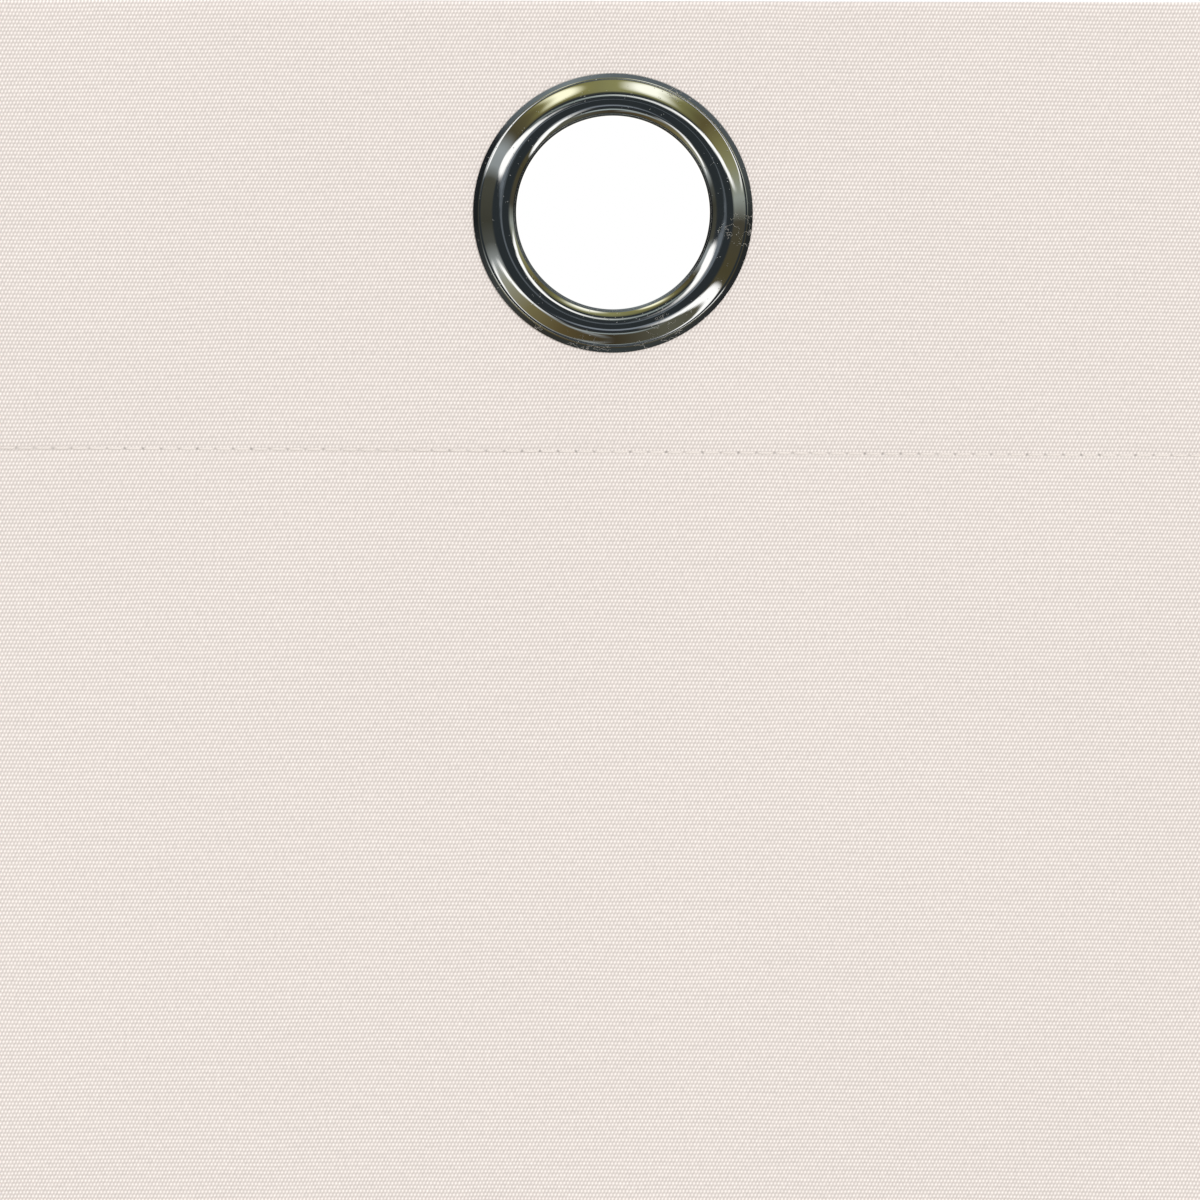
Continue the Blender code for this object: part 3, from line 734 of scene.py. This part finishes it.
def add_world():
    """A white studio for the cloth and the eye. Polished metal mirrors the room in front of the panel:
    dark round the camera, two long lamps above and two below, an olive ceiling and a brown floor. The
    room is drawn on a flat map, X and Z divided by 1 - Y, whose middle is the camera's side."""
    map_scale = 1.2
    world = bpy.data.worlds.new("studio")
    bpy.context.scene.world = world
    world.use_nodes = True
    tree = world.node_tree
    background = tree.nodes["Background"]
    towards = add(tree, "ShaderNodeTexCoord").node.outputs["Generated"]
    axis = add(tree, "ShaderNodeSeparateXYZ", {0: towards}).node.outputs
    depth = add(tree, "ShaderNodeMath", {
        0: axis["Y"], 1: -1 / map_scale, 2: 1 / map_scale,
    }, operation="MULTIPLY_ADD")
    depth = add(tree, "ShaderNodeMath", {0: depth, 1: 0.001}, operation="MAXIMUM")
    flat = add(tree, "ShaderNodeCombineXYZ", {
        "X": add(tree, "ShaderNodeMath", {0: axis["X"], 1: depth}, operation="DIVIDE"),
        "Y": add(tree, "ShaderNodeMath", {0: axis["Z"], 1: depth}, operation="DIVIDE"),
    })
    radius = add(tree, "ShaderNodeVectorMath", {0: flat}, operation="LENGTH").node.outputs["Value"]
    turn = add(tree, "ShaderNodeMath", {0: axis["Z"], 1: axis["X"]}, operation="ARCTAN2")
    turn = add(tree, "ShaderNodeMath", {0: turn, 1: 1 / (2 * math.pi), 2: 0.5}, operation="MULTIPLY_ADD")
    room = add(tree, "ShaderNodeValToRGB", {0: turn})
    # 0 and 1 are left, 0.25 is down, 0.5 is right and 0.75 is up
    ramp_stops(room, [
        (0.000, "#3A3A32"), (0.028, "#4A4C48"), (0.055, "#929797"), (0.085, "#8C8C7C"), (0.130, "#6E6748"),
        (0.181, "#54492F"), (0.250, "#393224"), (0.333, "#555549"), (0.433, "#45402C"), (0.500, "#423F35"),
        (0.530, "#8C928C"), (0.569, "#828263"), (0.600, "#74704A"), (0.630, "#564E31"), (0.655, "#5A583A"),
        (0.735, "#80805A"), (0.785, "#74724A"), (0.836, "#5E5838"), (0.885, "#464130"), (0.908, "#8E9496"),
        (0.930, "#888E90"), (0.946, "#44443C"), (1.000, "#3A3A32"),
    ])
    far = add(tree, "ShaderNodeMapRange", {
        "Value": radius, "From Min": 0.38, "From Max": 0.56,
    }, interpolation_type="SMOOTHSTEP")
    seen = add(tree, "ShaderNodeMix", {
        "Factor": far, "A": colour("#272C2F"), "B": room,
    }, data_type="RGBA").node.outputs["Result"]
    walls = add(tree, "ShaderNodeValToRGB", {0: turn})
    ramp_stops(walls, [
        (0.000, "#1A1D1F"), (0.040, "#2C2F30"), (0.090, "#3C3F3E"), (0.150, "#2E2D28"), (0.250, "#343A3B"),
        (0.330, "#333534"), (0.400, "#26282A"), (0.500, "#232625"), (0.555, "#44494A"), (0.640, "#50575B"),
        (0.750, "#5C6468"), (0.800, "#737C80"), (0.870, "#565D61"), (0.905, "#1F2225"), (1.000, "#1A1D1F"),
    ])
    beside = add(tree, "ShaderNodeMapRange", {
        "Value": radius, "From Min": 0.90, "From Max": 0.98,
    }, interpolation_type="SMOOTHSTEP")
    behind = add(tree, "ShaderNodeMapRange", {
        "Value": radius, "From Min": 3.0, "From Max": 5.0,
    }, interpolation_type="SMOOTHSTEP")
    # middle, half size, lean in degrees, softness of the edge, and colour of each lamp on the map
    for x, z, half_x, half_z, lean, soft, code in (
        (0.00, 0.26, 0.24, 0.045, 0, 0.6, "#848E8C"),
        (0.34, 0.235, 0.36, 0.062, -6, 0.45, "#FFFFFF"),
        (-0.08, 0.070, 0.15, 0.024, -14, 0.6, "#646B72"),
        (-0.28, 0.195, 0.25, 0.070, -19, 0.3, "#FFFFFF"),
        (0.03, -0.245, 0.20, 0.040, 0, 0.6, "#798089"),
        (0.00, -0.50, 0.22, 0.050, 0, 0.6, "#98A2A4"),
        (-0.45, -0.30, 0.25, 0.070, -12, 0.45, "#FFFFFF"),
        (-0.19, -0.50, 0.24, 0.055, -52, 0.9, "#8E9496"),
        (0.45, -0.40, 0.36, 0.095, -18, 0.4, "#FFFFFF"),
        (0.22, 0.82, 0.25, 0.34, 0, 0.9, "#8A8856"),
        (0.215, 0.82, 0.15, 0.27, 0, 0.7, "#FFFFF0"),
        (-0.30, 0.79, 0.17, 0.30, 0, 0.9, "#8A8654"),
        (-0.30, 0.79, 0.11, 0.23, 0, 0.7, "#FFFDDC"),
    ):
        own = add(tree, "ShaderNodeMapping", {
            "Vector": flat, "Location": (x, z, 0), "Rotation": (0, 0, math.radians(lean)),
            "Scale": (half_x, half_z, 1),
        }, vector_type="TEXTURE")
        away = add(tree, "ShaderNodeVectorMath", {0: own}, operation="LENGTH").node.outputs["Value"]
        inside = add(tree, "ShaderNodeMapRange", {
            "Value": away, "From Min": 1 + soft / 2, "From Max": 1 - soft,
        }, interpolation_type="SMOOTHSTEP")
        seen = add(tree, "ShaderNodeMix", {
            "Factor": inside, "A": seen, "B": colour(code),
        }, data_type="RGBA").node.outputs["Result"]
    for factor, shown in ((beside, walls), (behind, colour("#E9E7E4"))):
        seen = add(tree, "ShaderNodeMix", {
            "Factor": factor, "A": seen, "B": shown,
        }, data_type="RGBA").node.outputs["Result"]
    bright = add(tree, "ShaderNodeVectorMath", {0: seen, "Scale": 1.55}, operation="SCALE")
    path = add(tree, "ShaderNodeLightPath").node.outputs
    lit = (0.795, 0.787, 0.784, 1)
    for factor, shown in ((path["Is Camera Ray"], (1, 1, 1, 1)), (path["Is Glossy Ray"], bright)):
        lit = add(tree, "ShaderNodeMix", {
            "Factor": factor, "A": lit, "B": shown,
        }, data_type="RGBA").node.outputs["Result"]
    tree.links.new(lit, background.inputs["Color"])


add_camera()
add_floor()
add_world()
add_sun("key", 38, 25, 1.66, 9)
add_sun("behind", 140, 35, 0.84, 20)
bpy.context.scene.view_settings.view_transform = "Standard"


# ---------------------------------------------------------------- the panel

CANVAS = woven_cotton_canvas()
THREAD = spun_polyester_thread()
NICKEL = plated_metal("polished_nickel_plate", "#D3D3D1", 0.045, 0.42, 0.5)
BACK_NICKEL = plated_metal("tumbled_nickel_plate", "#C6C3BC", 0.16, 0.5, 0.4)

PATH = cloth_path()
BORDERS = [LEFT, *EYELET_X, RIGHT]


def place_span(piece, n):
    """Span n rides on the section at its end of the panel; a span between two sections has its placement
    baked into its mesh and rides on neither.
    """
    if n in (0, EYELETS):
        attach(piece, f"section_{max(n, 1)}")
    else:
        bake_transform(piece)


def side_stitches(edge, inwards):
    """Both faces of a side hem's row of stitches, between the bottom hem and the header, as rows for
    stitching_piece."""
    z = np.arange(HEM_TOP + 4 * MM, HEADER_EDGE - 4 * MM, STITCH)
    x = np.full_like(z, edge + inwards * (SIDE_HEM - HEM_LIFT))
    rows = []
    for depth, facing_y in ((FRONT_FACE, -1), (BACK_FACE, 1)):
        centres = np.stack([x, depth + wave(x, z), z], axis=-1)
        rows.append((centres, (0, 0, 1), (0, facing_y, 0)))
    return rows


for n in range(EYELETS + 1):
    start, end = BORDERS[n], BORDERS[n + 1]
    holes = [x for x in (start, end) if x in EYELET_X]
    span = cloth_span(f"cloth_span_{n}", start, end, holes, PATH, CANVAS)
    rows = [
        stitch_row(start, end, seam, depth, facing_y)
        for seam in (SEAM, HEM_SEAM)
        for depth, facing_y in ((FRONT_FACE + BEDDED, -1), (BACK_FACE - BEDDED, 1))
    ]
    if n == 0:
        rows += side_stitches(LEFT, 1)
    if n == EYELETS:
        rows += side_stitches(RIGHT, -1)
    stitching = stitching_piece(f"stitching_{n}", rows, THREAD)
    for piece in (span, stitching):
        place_span(piece, n)
    sections = [s for s in (n, n + 1) if 1 <= s <= EYELETS]
    for s in sections:
        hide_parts(f"panel_cloth_{s}", f"header_facing_{s}", f"bottom_hem_{s}")
        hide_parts(f"header_stitching_{s}")
    if n in (0, EYELETS):
        side, edge, inwards = ("left", LEFT, 1) if n == 0 else ("right", RIGHT, -1)
        hem, hem_width = side_hem_piece(f"side_hem_sheet_{side}", edge, inwards, CANVAS)
        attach(hem, f"section_{max(n, 1)}")
        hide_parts(f"side_hem_{side}")

for n, x in enumerate(EYELET_X, 1):
    turn_offset = (n - VIEWED_EYELET) * 1.9
    ring = turned_piece(f"eyelet_{n}", x, ring_outline(), 192, turn_offset, NICKEL)
    washer = turned_piece(f"eyelet_back_washer_{n}", x, washer_outline(), 128, turn_offset, BACK_NICKEL)
    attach(ring, f"section_{n}")
    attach(washer, f"section_{n}")
    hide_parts(f"eyelet_ring_{n}")
    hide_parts(f"eyelet_washer_{n}")
